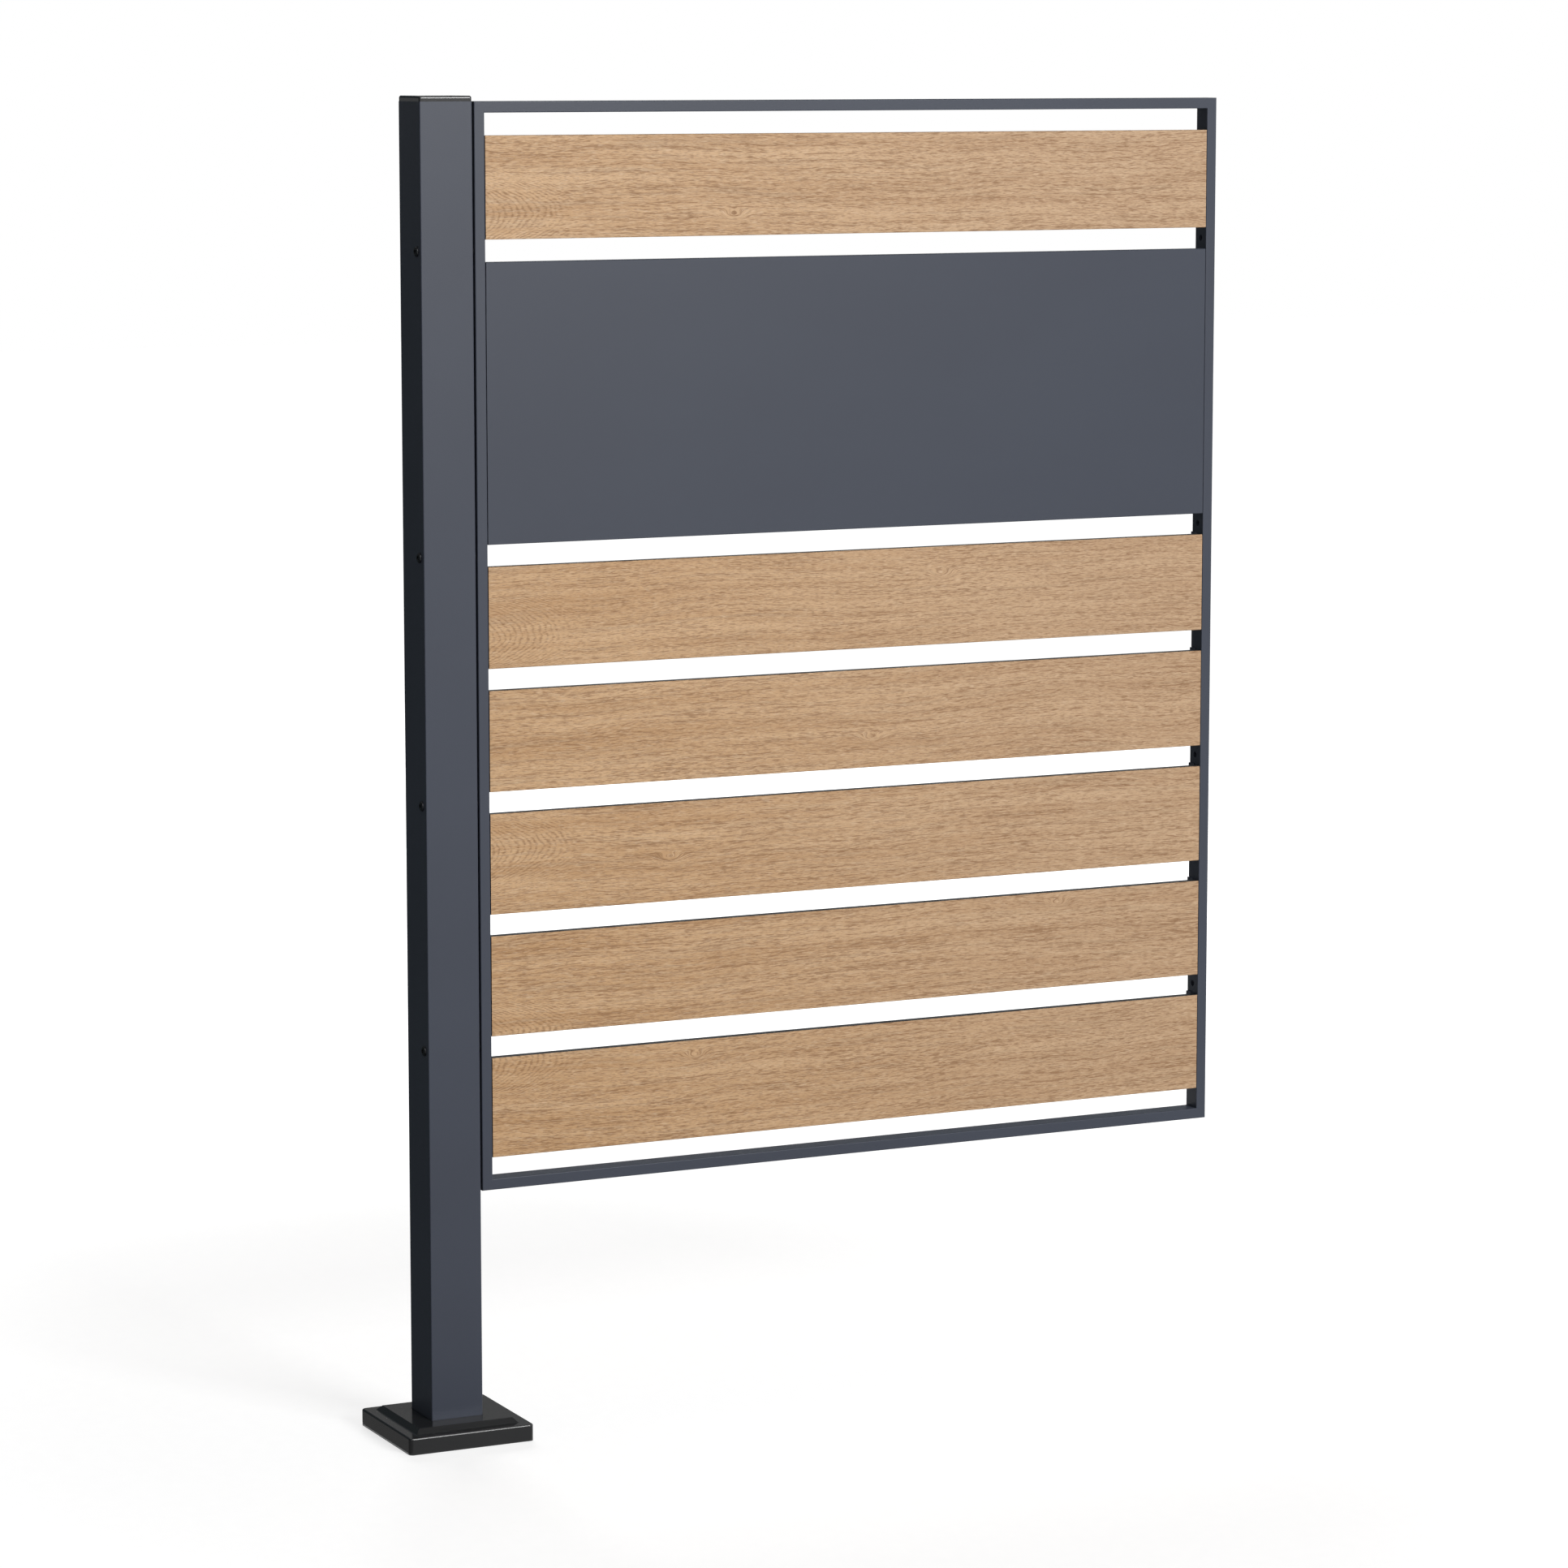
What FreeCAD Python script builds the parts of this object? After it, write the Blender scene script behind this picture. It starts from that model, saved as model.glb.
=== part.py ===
import FreeCAD, Part
import os
import re
import Sketcher
from FreeCAD import Rotation, Vector

# One bay of a bin screen. A square post stands on a bolted foot under a moulded cover and carries a
# framed panel of oak-decor slats with one tall plain board. The origin lies on the ground under the
# post's axis, the panel runs along +X, its front faces -Y and +Z is up. Lengths are millimetres.
doc = FreeCAD.newDocument("bin_screen")

DIMENSIONS = {
    # Post, foot plate and cap
    "post_height": 1452,
    "post_side": 60,
    "post_wall": 2,
    "post_corner": 1.2,
    "plate_side": 130,
    "plate_thick": 8,
    "plate_corner": 8,
    "anchor_spacing": 100,
    "anchor_hole": 9,
    "cap_height": 6,
    "cap_edge": 2.4,
    "plug_depth": 24,
    "plug_wall": 2,
    "plug_clearance": 1,
    "fin_clearance": 0.1,
    "fin_thick": 1.6,
    "fin_pitch": 7,
    # Foot cover
    "cover_side": 146,
    "cover_rim": 18.6,
    "cover_corner": 5,
    "cover_edge": 2,
    "cover_wall": 2.5,
    "step_side": 120,
    "step_run": 5.5,
    "step_rise": 5.4,
    "cover_clearance": 0.6,
    "collar_wall": 2,
    "collar_drop": 8,
    "rib_thick": 2,
    "rib_drop": 4,
    # Panel frame
    "frame_gap": 2,
    "frame_width": 910,
    "bar_width": 12,
    "bar_depth": 24,
    "bar_wall": 1.5,
    "bar_corner": 1,
    # Boards
    "board_thick": 12,
    "slat_height": 110,
    "panel_height": 302,
    "board_gap": 24,
    "board_end_gap": 0.6,
    "board_arris": 0.6,
    # Brackets behind the ends of the boards
    "bracket_thick": 1.5,
    "bracket_arm": 26,
    "bracket_bend": 2,
    "bracket_inset": 1.5,
    "bracket_tab": 3,
    "fixing_inset": 20,
    "screw_reach": 16,
    # Screws through the brackets into the boards, sizes across corners
    "screw_dia": 3.5,
    "screw_head": 7,
    "screw_head_high": 2.4,
    "screw_depth": 8,
    "screw_tip_room": 0.5,
    "fixing_clearance": 0.05,
    # Bolts, spacers and threaded bushes between post and panel, six-sided widths across corners
    "bolt_dia": 6,
    "bolt_clearance": 0.5,
    "bolt_head": 11,
    "bolt_head_high": 2.2,
    "bolt_head_edge": 1,
    "bolt_short": 1,
    "socket_width": 4.6,
    "socket_deep": 1.5,
    "spacer_width": 18,
    "bush_width": 11,
    "thread_clearance": 0.15,
    "thread_core": 5,
    # How far every cutting outline runs past the piece
    "overrun": 2,
}

# The boards from the top down, and the boards with a bolt at the middle of the gap below them
BOARDS = ("slat_1", "tall_panel", "slat_2", "slat_3", "slat_4", "slat_5", "slat_6")
BOLTED_BELOW = ("slat_1", "tall_panel", "slat_3", "slat_5")
TABBED_BRACKETS = ("slat_2", "slat_3", "slat_4", "slat_5", "slat_6")
SQUARE_SIDES = 4
HEXAGON_SIDES = 6
CAP_FINS = 3

# The side of the panel that faces the post, and the free side for the next post
LEFT = 1
RIGHT = -1
SIDES = {"left": LEFT, "right": RIGHT}

sizes = doc.addObject("Spreadsheet::Sheet", "Sizes")
for row, (alias, length) in enumerate(DIMENSIONS.items(), start=1):
    sizes.set(f"A{row}", alias)
    sizes.set(f"B{row}", str(length))
    sizes.setAlias(f"B{row}", alias)
doc.recompute()


def cell(word):
    name = word.group()
    return f"Sizes.{name}" if name in DIMENSIONS else name


def bind(target, name, formula):
    """Drive a property or a sketch dimension by a formula of the sheet's sizes."""
    target.setExpression(name, re.sub("[a-z_]+", cell, formula))


def new_body(name, x="0", y="0", z="0"):
    body = doc.addObject("PartDesign::Body", name)
    body.Label = name
    for axis, formula in zip("xyz", (x, y, z)):
        bind(body, f"Placement.Base.{axis}", formula)
    return body


def new_sketch(body, role, offset="0"):
    """A sketch on one of the body's origin planes, moved along its normal."""
    sketch = body.newObject("Sketcher::SketchObject", f"{body.Name}_outline")
    plane = next(item for item in body.Origin.OriginFeatures if item.Role == role)
    sketch.AttachmentSupport = [(plane, "")]
    sketch.MapMode = "FlatFace"
    bind(sketch, "AttachmentOffset.Base.z", offset)
    return sketch


def place_points(sketch, points):
    """Place points of a sketch, each given as geometry, point and a pair of formulas."""
    kinds = ("DistanceX", "DistanceY")
    constraints = [Sketcher.Constraint(kind, *point[:2], 0) for point in points for kind in kinds]
    formulas = [formula for point in points for formula in point[2:]]
    for number, formula in zip(sketch.addConstraint(constraints), formulas):
        bind(sketch, f"Constraints[{number}]", formula)


def polygon(sketch, corners):
    """A closed outline whose corners are pairs of formulas."""
    count = len(corners)
    spokes = [Rotation(Vector(0, 0, 1), 360 * turn / count) for turn in range(count)]
    ring = [spoke.multVec(Vector(1, 0, 0)) for spoke in spokes]
    lines = sketch.addGeometry([Part.LineSegment(*ends) for ends in zip(ring, ring[1:] + ring[:1])], False)
    joints = zip(lines, lines[1:] + lines[:1])
    sketch.addConstraint([Sketcher.Constraint("Coincident", line, 2, after, 1) for line, after in joints])
    place_points(sketch, [(line, 1, *corner) for line, corner in zip(lines, corners)])


def rectangle(sketch, left, low, right, high):
    polygon(sketch, [(left, low), (right, low), (right, high), (left, high)])


def square(sketch, side):
    half = f"({side}) / 2"
    rectangle(sketch, f"-{half}", f"-{half}", half, half)


def circle(sketch, x, y, diameter):
    number = sketch.addGeometry(Part.Circle(Vector(0, 0, 0), Vector(0, 0, 1), 1), False)
    place_points(sketch, [(number, 3, x, y)])
    size = sketch.addConstraint(Sketcher.Constraint("Diameter", number, 2))
    bind(sketch, f"Constraints[{size}]", diameter)


def hexagon(sketch, x, y, width):
    """A six-sided outline about a point, given its width across corners."""
    angles = [f"{360 / HEXAGON_SIDES * corner} deg" for corner in range(HEXAGON_SIDES)]
    reach = f"({width}) / 2"
    polygon(sketch, [(f"{x} + {reach} * cos({turn})", f"{y} + {reach} * sin({turn})") for turn in angles])


def pad(body, sketch, depth, reverse=False, both_ways=False):
    feature = body.newObject("PartDesign::Pad", f"{body.Name}_pad")
    feature.Profile = sketch
    bind(feature, "Length", depth)
    feature.Reversed = reverse
    feature.SideType = "Symmetric" if both_ways else "One side"
    doc.recompute()
    return feature


def pocket(body, sketch, depth=None, reverse=False):
    """Cut an outline to a depth, or right through the piece both ways."""
    before = body.Shape.Volume
    feature = body.newObject("PartDesign::Pocket", f"{body.Name}_cut")
    feature.Profile = sketch
    feature.Reversed = reverse
    if depth is None:
        feature.Type = "ThroughAll"
        feature.SideType = "Symmetric"
    else:
        bind(feature, "Length", depth)
    doc.recompute()
    if not feature.Shape.Volume < before:
        raise ValueError(f"{feature.Name} cuts nothing")
    return feature


def quarter_turns(body, feature):
    """Repeat a feature on the four sides of a square piece."""
    pattern = body.newObject("PartDesign::PolarPattern", f"{body.Name}_turns")
    axis = next(item for item in body.Origin.OriginFeatures if item.Role == "Z_Axis")
    pattern.Originals = [feature]
    pattern.Axis = (axis, [""])
    pattern.Angle = 360
    pattern.Occurrences = SQUARE_SIDES
    body.Tip = pattern
    doc.recompute()


def edge_names(body, wanted):
    edges = enumerate(body.Tip.Shape.Edges, start=1)
    return [f"Edge{number}" for number, edge in edges if wanted(edge)]


def runs_along(edge, axis):
    """True for a straight edge that is parallel to the axis."""
    if edge.Curve.TypeId != "Part::GeomLine":
        return False
    return edge.Curve.Direction.cross(axis).Length < edge.Tolerance


def dress(body, kind, names, value, formula):
    base = body.Tip
    feature = body.newObject(f"PartDesign::{kind}", f"{body.Name}_{kind.lower()}")
    feature.Base = (base, names)
    bind(feature, value, formula)
    doc.recompute()


def round_edges(body, wanted, formula):
    names = edge_names(body, wanted)
    dress(body, "Fillet", names, "Radius", formula)


def outer_corner(body, edge):
    """True for an upright edge at a corner of the body's box in plan."""
    box = body.Tip.Shape.BoundBox
    middle = edge.CenterOfMass
    reach_x = abs(abs(middle.x - box.Center.x) - box.XLength / 2)
    reach_y = abs(abs(middle.y - box.Center.y) - box.YLength / 2)
    return runs_along(edge, Vector(0, 0, 1)) and max(reach_x, reach_y) < edge.Tolerance


# Heights worked out from the boards
SLAT_COUNT = len(BOARDS) - 1
frame_height = (
    f"(2 * bar_width + {SLAT_COUNT} * slat_height + panel_height + {len(BOARDS) + 1} * board_gap)"
)
frame_bottom = f"(post_height - {frame_height})"
frame_left = "(post_side / 2 + frame_gap)"
frame_right = f"({frame_left} + frame_width)"
bar_axis_y = "(bar_depth / 2 - post_side / 2)"
board_back_y = "(board_thick - post_side / 2)"


def board_height(board):
    return "panel_height" if board == "tall_panel" else "slat_height"


def board_bottom(board):
    """The board's lower edge, from the top of the frame down past the boards above it."""
    down_to = BOARDS[: BOARDS.index(board) + 1]
    stack = " - ".join(f"board_gap - {board_height(name)}" for name in down_to)
    return f"(post_height - bar_width - {stack})"


bolt_heights = [f"({board_bottom(board)} - board_gap / 2)" for board in BOLTED_BELOW]


def bracket_height(board):
    return f"({board_height(board)} - 2 * bracket_inset)"


def bracket_bottom(board):
    return f"({board_bottom(board)} + bracket_inset)"


def fixing_heights(board):
    """The two fixing heights of a bracket, from the bracket's lower end."""
    return ("fixing_inset", f"({bracket_height(board)} - fixing_inset)")


# Holes for the fixings
screw_hole = "screw_dia + 2 * fixing_clearance"
bush_hole = "bush_width + 2 * fixing_clearance"
bolt_hole = "bolt_dia + 2 * bolt_clearance"


def make_foot_plate():
    """Steel plate under the post, with four holes for the ground anchors."""
    body = new_body("foot_plate")
    outline = new_sketch(body, "XY_Plane")
    square(outline, "plate_side")
    pad(body, outline, "plate_thick")
    round_edges(body, lambda edge: outer_corner(body, edge), "plate_corner")
    anchor = new_sketch(body, "XY_Plane")
    circle(anchor, "anchor_spacing / 2", "anchor_spacing / 2", "anchor_hole")
    quarter_turns(body, pocket(body, anchor))
    return body


def make_post_tube():
    """Square hollow post welded on the foot plate, drilled through for the panel bolts."""
    body = new_body("post_tube", z="plate_thick")
    section = new_sketch(body, "XY_Plane")
    square(section, "post_side")
    square(section, "post_side - 2 * post_wall")
    pad(body, section, "post_height - plate_thick")
    round_edges(body, lambda edge: outer_corner(body, edge), "post_corner")
    drilling = new_sketch(body, "YZ_Plane")
    for height in bolt_heights:
        circle(drilling, bar_axis_y, f"{height} - plate_thick", bolt_hole)
    pocket(body, drilling)
    return body


def make_post_cap():
    """Moulded lid, flush with the post, on a hollow plug whose fins grip the tube's inside."""
    body = new_body("post_cap", z="post_height")
    lid = new_sketch(body, "XY_Plane")
    square(lid, "post_side")
    pad(body, lid, "cap_height")
    underside = body.Tip.Shape.BoundBox.ZMin
    round_edges(body, lambda edge: edge.CenterOfMass.z > underside + edge.Tolerance, "cap_edge")
    plug_side = "post_side - 2 * post_wall - 2 * plug_clearance"
    plug = new_sketch(body, "XY_Plane")
    square(plug, plug_side)
    square(plug, f"{plug_side} - 2 * plug_wall")
    pad(body, plug, "plug_depth", reverse=True)
    for number in range(1, CAP_FINS + 1):
        fin = new_sketch(body, "XY_Plane", f"-{number} * fin_pitch")
        square(fin, "post_side - 2 * post_wall - 2 * fin_clearance")
        square(fin, f"{plug_side} - plug_wall")
        pad(body, fin, "fin_thick")
    return body


def loft_step(body, kind, low, set_in):
    """The cover's square step with sloped sides, solid or as a hollow set in from the outside."""
    foot = new_sketch(body, "XY_Plane", low)
    square(foot, f"step_side - 2 * ({set_in})")
    top = new_sketch(body, "XY_Plane", f"{low} + step_rise")
    square(top, f"step_side - 2 * step_run - 2 * ({set_in})")
    loft = body.newObject(f"PartDesign::{kind}", "cover_step")
    loft.Profile = foot
    loft.Sections = [top]
    doc.recompute()


def make_base_cover():
    """Moulded shell over the foot plate: flat rim, sloped step, flat top, collar and ribs inside."""
    body = new_body("base_cover")
    block = new_sketch(body, "XY_Plane")
    square(block, "cover_side")
    pad(body, block, "cover_rim")
    round_edges(body, lambda edge: outer_corner(body, edge), "cover_corner")
    ground = body.Tip.Shape.BoundBox.ZMin
    round_edges(body, lambda edge: edge.BoundBox.ZMin > ground + edge.Tolerance, "cover_edge")

    # The step on top, then the hollow of rim and step with about the same wall square to the slope
    inside_rim = "(cover_rim - cover_wall)"
    inside_top = f"({inside_rim} + step_rise)"
    slope_set_in = "cover_wall * (sqrt(2) - 1)"
    loft_step(body, "AdditiveLoft", "cover_rim", "0")
    inside = new_sketch(body, "XY_Plane")
    square(inside, "cover_side - 2 * cover_wall")
    pocket(body, inside, inside_rim, reverse=True)
    loft_step(body, "SubtractiveLoft", inside_rim, slope_set_in)

    # A collar round the post's opening, and a rib from it to the middle of each side wall
    opening = "post_side + 2 * cover_clearance"
    collar = new_sketch(body, "XY_Plane", inside_top)
    square(collar, f"{opening} + 2 * collar_wall")
    pad(body, collar, "collar_drop", reverse=True)
    inner_end = f"(({opening}) / 2 + collar_wall)"
    outer_end = "(cover_side / 2 - cover_wall)"
    rib = new_sketch(body, "XZ_Plane")
    polygon(rib, [
        (inner_end, f"{inside_rim} - rib_drop"),
        (outer_end, f"{inside_rim} - rib_drop"),
        (outer_end, inside_rim),
        (f"step_side / 2 - {slope_set_in}", inside_rim),
        (f"step_side / 2 - step_run - {slope_set_in}", inside_top),
        (inner_end, inside_top),
    ])
    quarter_turns(body, pad(body, rib, "rib_thick", both_ways=True))
    post_way = new_sketch(body, "XY_Plane")
    square(post_way, opening)
    pocket(body, post_way)
    return body


def make_bar(name, run, inward, x, z, turn=0):
    """Flat hollow bar with mitred ends: it runs along its own Z and faces the panel along its own X."""
    body = new_body(name, x, bar_axis_y, z)
    body.Placement.Rotation = Rotation(Vector(0, 1, 0), turn)
    inner = f"{inward} * bar_width"
    section = new_sketch(body, "XY_Plane")
    rectangle(section, "0", "-bar_depth / 2", inner, "bar_depth / 2")
    wall = f"{inward} * bar_wall"
    back = "(bar_depth / 2 - bar_wall)"
    rectangle(section, wall, f"-{back}", f"{inner} - {wall}", back)
    pad(body, section, run)
    round_edges(body, lambda edge: outer_corner(body, edge), "bar_corner")
    past = f"{inward} * overrun"
    mitres = new_sketch(body, "XZ_Plane")
    for end, way in (("0", 1), (run, -1)):
        polygon(mitres, [
            (f"-{past}", f"{end} - {way} * overrun"),
            (f"{inner} + {past}", f"{end} - {way} * overrun"),
            (f"{inner} + {past}", f"{end} + {way} * (bar_width + overrun)"),
        ])
    pocket(body, mitres)
    return body


def make_stile(name, inward, x):
    """Upright bar: six-sided holes for the threaded bushes outside, round ones for bolt ends inside."""
    body = make_bar(name, frame_height, inward, x, frame_bottom)
    for outline, width, face, cut_way in (
        (hexagon, bush_hole, "0", LEFT),
        (circle, bolt_hole, f"{inward} * bar_width", RIGHT),
    ):
        holes = new_sketch(body, "YZ_Plane", face)
        for height in bolt_heights:
            outline(holes, "0", f"{height} - {frame_bottom}", width)
        pocket(body, holes, "2 * bar_wall", reverse=inward == cut_way)
    return body


def make_frame():
    """Two stiles and two rails, mitred into one frame."""
    return [
        make_stile("frame_stile_left", LEFT, frame_left),
        make_stile("frame_stile_right", RIGHT, frame_right),
        make_bar("frame_rail_top", "frame_width", LEFT, frame_left, "post_height", turn=90),
        make_bar("frame_rail_bottom", "frame_width", LEFT, frame_right, frame_bottom, turn=-90),
    ]


def make_board(board):
    """Compact board between the stiles, flush with the frame's front, with blind holes in its back."""
    start = f"({frame_left} + bar_width + board_end_gap)"
    reach = "(frame_width - 2 * bar_width - 2 * board_end_gap)"
    body = new_body(board, start, "-post_side / 2", board_bottom(board))
    section = new_sketch(body, "YZ_Plane")
    rectangle(section, "0", "0", "board_thick", board_height(board))
    pad(body, section, reach)
    arrises = edge_names(body, lambda edge: runs_along(edge, Vector(1, 0, 0)))
    dress(body, "Chamfer", arrises, "Size", "board_arris")
    pilots = new_sketch(body, "XZ_Plane", "-board_thick")
    for across in ("screw_reach - board_end_gap", f"{reach} - screw_reach + board_end_gap"):
        for height in fixing_heights(board):
            up = f"{bracket_bottom(board)} + {height} - {board_bottom(board)}"
            hexagon(pilots, across, up, screw_hole)
    pocket(body, pilots, "screw_depth + screw_tip_room", reverse=True)
    return body


def inner_face(side):
    """The inner side of a stile, where the brackets are welded."""
    if side == LEFT:
        return f"({frame_left} + bar_width)"
    return f"({frame_right} - bar_width)"


def make_bracket(board, name, side):
    """Bent steel angle: one leg welded on the stile's inner side, one behind the end of the board."""
    body = new_body(f"bracket_{board}_{name}", inner_face(side), board_back_y, bracket_bottom(board))
    leg = "(bar_depth - board_thick)"
    thick = f"{side} * bracket_thick"
    arm = f"{side} * bracket_arm"
    section = new_sketch(body, "XY_Plane")
    polygon(section, [
        (f"{side} * bracket_bend", "0"),
        (arm, "0"),
        (arm, "bracket_thick"),
        (thick, "bracket_thick"),
        (thick, leg),
        ("0", leg),
        ("0", "bracket_bend"),
    ])
    pad(body, section, bracket_height(board))
    if board in TABBED_BRACKETS:
        tab = new_sketch(body, "XY_Plane", bracket_height(board))
        rectangle(tab, "0", "bracket_bend", thick, leg)
        pad(body, tab, "bracket_tab")
    holes = new_sketch(body, "XZ_Plane")
    for height in fixing_heights(board):
        hexagon(holes, f"{side} * screw_reach", height, screw_hole)
    pocket(body, holes)
    return body


def studs(body, role, outline, places, parts):
    """Fixings of stacked outlines, each with a start and a reach along the normal and a width."""
    for start, reach, width in parts:
        sketch = new_sketch(body, role, start)
        for across, height in places:
            outline(sketch, across, height, width)
        pad(body, sketch, reach)


def make_board_screws(name, side):
    """Hexagon-head screws through the brackets into the backs of the boards."""
    body = new_body(f"board_screws_{name}", inner_face(side), board_back_y)
    parts = [
        ("-bracket_thick - screw_head_high", "screw_head_high", "screw_head"),
        ("-bracket_thick", "bracket_thick + screw_depth", "screw_dia"),
    ]
    for board in BOARDS:
        across = f"{side} * screw_reach"
        places = [(across, f"{bracket_bottom(board)} + {height}") for height in fixing_heights(board)]
        studs(body, "XZ_Plane", hexagon, places, parts)
    return body


def make_panel_bolts():
    """Low-head socket bolts from the post's outer side through to the bushes of the left stile."""
    body = new_body("panel_bolts", "-post_side / 2", bar_axis_y)
    places = [("0", height) for height in bolt_heights]
    shank = "post_side + frame_gap + bar_width - bolt_short"
    parts = [("0", shank, "bolt_dia"), ("-bolt_head_high", "bolt_head_high", "bolt_head")]
    studs(body, "YZ_Plane", circle, places, parts)
    face = body.Tip.Shape.BoundBox.XMin
    rims = edge_names(body, lambda edge: edge.BoundBox.XMax < face + edge.Tolerance)
    dress(body, "Chamfer", rims, "Size", "bolt_head_edge")
    sockets = new_sketch(body, "YZ_Plane", "-bolt_head_high")
    for across, height in places:
        hexagon(sockets, across, height, "socket_width")
    pocket(body, sockets, "socket_deep", reverse=True)
    return body


def make_rings(name, x, depth, width, bore):
    """One six-sided ring on each bolt axis."""
    body = new_body(name, x, bar_axis_y)
    rings = new_sketch(body, "YZ_Plane")
    for height in bolt_heights:
        hexagon(rings, "0", height, width)
        circle(rings, "0", height, bore)
    pad(body, rings, depth)
    return body


bodies = [make_foot_plate(), make_post_tube(), make_post_cap(), make_base_cover()]
bodies += make_frame()
bodies += [make_board(board) for board in BOARDS]
for side_name, side in SIDES.items():
    bodies += [make_bracket(board, side_name, side) for board in BOARDS]
    bodies.append(make_board_screws(side_name, side))
bodies.append(make_panel_bolts())
bodies.append(make_rings("stile_spacers", "post_side / 2", "frame_gap", "spacer_width", bolt_hole))
bush_length = "(bar_width - bar_wall)"
for side_name, start, bore in (
    ("left", frame_left, "bolt_dia + 2 * thread_clearance"),
    ("right", f"{frame_right} - {bush_length}", "thread_core"),
):
    name = f"threaded_bushes_{side_name}"
    bodies.append(make_rings(name, start, bush_length, "bush_width", bore))
doc.recompute()

# Every feature has to have worked, and every piece has to be sound, before anything is written
for item in doc.Objects:
    if "Invalid" in item.State or "Error" in item.State:
        raise ValueError(f"{item.Label} failed: {item.State}")
for body in bodies:
    if body.Shape.isNull() or not body.Shape.isValid():
        raise ValueError(f"{body.Label} is not a sound solid")

os.makedirs("parts", exist_ok=True)
for body in bodies:
    body.Shape.exportStep(f"parts/{body.Label}.step")
    print(body.Label, len(body.Shape.Solids), "solids")
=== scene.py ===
import math
from collections import namedtuple

import bmesh
import bpy
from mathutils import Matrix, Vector


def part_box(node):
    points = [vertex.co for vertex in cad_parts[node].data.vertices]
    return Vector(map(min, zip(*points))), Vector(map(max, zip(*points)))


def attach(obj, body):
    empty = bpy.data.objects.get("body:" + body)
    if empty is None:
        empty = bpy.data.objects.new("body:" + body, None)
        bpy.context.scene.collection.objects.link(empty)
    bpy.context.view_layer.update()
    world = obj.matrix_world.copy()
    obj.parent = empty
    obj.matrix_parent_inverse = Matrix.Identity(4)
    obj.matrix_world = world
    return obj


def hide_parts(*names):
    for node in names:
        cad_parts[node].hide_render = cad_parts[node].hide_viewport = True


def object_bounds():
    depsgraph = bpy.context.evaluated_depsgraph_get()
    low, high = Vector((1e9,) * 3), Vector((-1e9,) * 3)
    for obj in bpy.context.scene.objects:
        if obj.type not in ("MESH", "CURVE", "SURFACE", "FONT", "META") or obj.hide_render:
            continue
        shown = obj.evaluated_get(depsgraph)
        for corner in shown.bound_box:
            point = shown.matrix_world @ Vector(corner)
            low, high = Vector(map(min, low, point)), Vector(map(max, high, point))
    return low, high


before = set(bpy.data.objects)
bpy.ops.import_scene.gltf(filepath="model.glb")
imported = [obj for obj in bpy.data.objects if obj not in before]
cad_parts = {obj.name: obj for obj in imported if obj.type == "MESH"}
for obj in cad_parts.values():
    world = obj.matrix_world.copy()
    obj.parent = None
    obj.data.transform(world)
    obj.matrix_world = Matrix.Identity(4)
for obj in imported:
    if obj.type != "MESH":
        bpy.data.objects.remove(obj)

cad_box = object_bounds()


# Post: a square steel tube welded on a foot plate, with one powder coat over both.
# The coat is anthracite and half matt, with the fine peel that baked powder leaves.
NOISE_SPREAD = (0.3, 0.7)
PLAIN_SPECULAR = 0.5


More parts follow.
